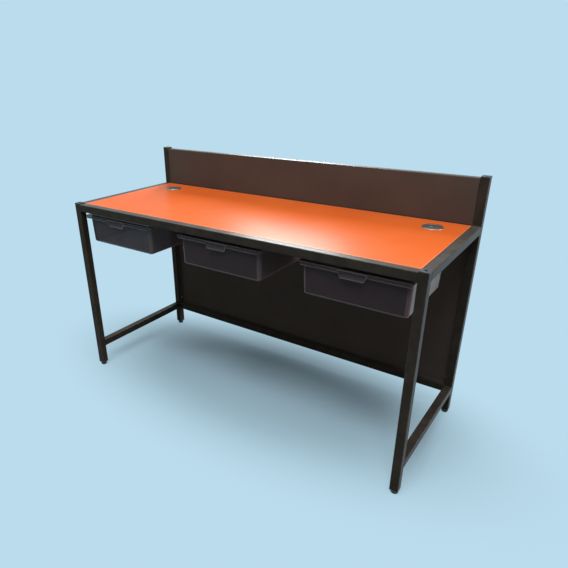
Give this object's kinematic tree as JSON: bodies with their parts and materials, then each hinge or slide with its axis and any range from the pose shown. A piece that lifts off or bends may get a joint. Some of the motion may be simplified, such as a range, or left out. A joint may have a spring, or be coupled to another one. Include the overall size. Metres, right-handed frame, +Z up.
{
  "type": "jewelers bench",
  "caption": "Workshop bench with a flush laminate top in a square steel tube frame, a rear upstand and modesty panel, sliding clear trays and cable grommets.",
  "frame": {"origin": "on the floor, under the middle of the bench", "axes": "+X along the bench to the user's right, +Y from the front to the upstand, +Z up"},
  "size_m": [1.501, 0.581, 0.954],
  "materials": {
    "frame_paint": "satin black powder coat",
    "panel_paint": "satin dark brown-black powder coat",
    "black_plastic": "moulded, satin",
    "orange_laminate": "satin laminate",
    "board_core": "raw board",
    "smoked_plastic": "clear, faintly smoked",
    "runner_metal": "mill finish extrusion",
    "screw_steel": "zinc plated",
    "grommet_metal": "satin metal"
  },
  "bodies": {
    "bench": {"front_left_leg": "frame_paint", "rear_left_post": "frame_paint", "left_top_rail": "frame_paint", "left_bottom_rail": "frame_paint", "front_right_leg": "frame_paint", "rear_right_post": "frame_paint", "right_top_rail": "frame_paint", "right_bottom_rail": "frame_paint", "front_top_rail": "frame_paint", "rear_top_rail": "frame_paint", "rear_bottom_rail": "frame_paint", "front_worktop_ledge": "frame_paint", "rear_worktop_ledge": "frame_paint", "upstand_panel": "panel_paint", "modesty_panel": "panel_paint", "front_left_cap": "black_plastic", "front_left_foot": "black_plastic", "front_left_worktop_screw": "screw_steel", "front_right_cap": "black_plastic", "front_right_foot": "black_plastic", "front_right_worktop_screw": "screw_steel", "rear_left_cap": "black_plastic", "rear_left_foot": "black_plastic", "rear_left_worktop_screw": "screw_steel", "rear_right_cap": "black_plastic", "rear_right_foot": "black_plastic", "rear_right_worktop_screw": "screw_steel", "worktop_edging": "orange_laminate", "worktop_board": "board_core", "worktop_laminate": "orange_laminate", "modesty_left_lower_screw": "screw_steel", "modesty_left_upper_screw": "screw_steel", "left_grommet": "grommet_metal", "modesty_right_lower_screw": "screw_steel", "modesty_right_upper_screw": "screw_steel", "right_grommet": "grommet_metal", "left_tray_left_runner": "runner_metal", "left_tray_left_runner_front_screw": "screw_steel", "left_tray_left_runner_rear_screw": "screw_steel", "left_tray_right_runner": "runner_metal", "left_tray_right_runner_front_screw": "screw_steel", "left_tray_right_runner_rear_screw": "screw_steel", "middle_tray_left_runner": "runner_metal", "middle_tray_left_runner_front_screw": "screw_steel", "middle_tray_left_runner_rear_screw": "screw_steel", "middle_tray_right_runner": "runner_metal", "middle_tray_right_runner_front_screw": "screw_steel", "middle_tray_right_runner_rear_screw": "screw_steel", "right_tray_left_runner": "runner_metal", "right_tray_left_runner_front_screw": "screw_steel", "right_tray_left_runner_rear_screw": "screw_steel", "right_tray_right_runner": "runner_metal", "right_tray_right_runner_front_screw": "screw_steel", "right_tray_right_runner_rear_screw": "screw_steel"},
    "left_tray": {"left_tray": "smoked_plastic"},
    "middle_tray": {"middle_tray": "smoked_plastic"},
    "right_tray": {"right_tray": "smoked_plastic"},
    "left_lid": {"left_grommet_lid": "grommet_metal"},
    "right_lid": {"right_grommet_lid": "grommet_metal"}
  },
  "joints": [
    {"name": "left_tray_slide", "type": "slide", "parent": "bench", "child": "left_tray", "axis": [0, -1, 0], "range_m": [0, 0.22]},
    {"name": "middle_tray_slide", "type": "slide", "parent": "bench", "child": "middle_tray", "axis": [0, -1, 0], "range_m": [0, 0.22]},
    {"name": "right_tray_slide", "type": "slide", "parent": "bench", "child": "right_tray", "axis": [0, -1, 0], "range_m": [0, 0.22]},
    {"name": "left_lid_turn", "type": "hinge", "parent": "bench", "child": "left_lid", "pos_m": [-0.612, 0.168, 0.785], "axis": [0, 0, 1], "continuous": true},
    {"name": "right_lid_turn", "type": "hinge", "parent": "bench", "child": "right_lid", "pos_m": [0.612, 0.168, 0.785], "axis": [0, 0, 1], "continuous": true}
  ]
}
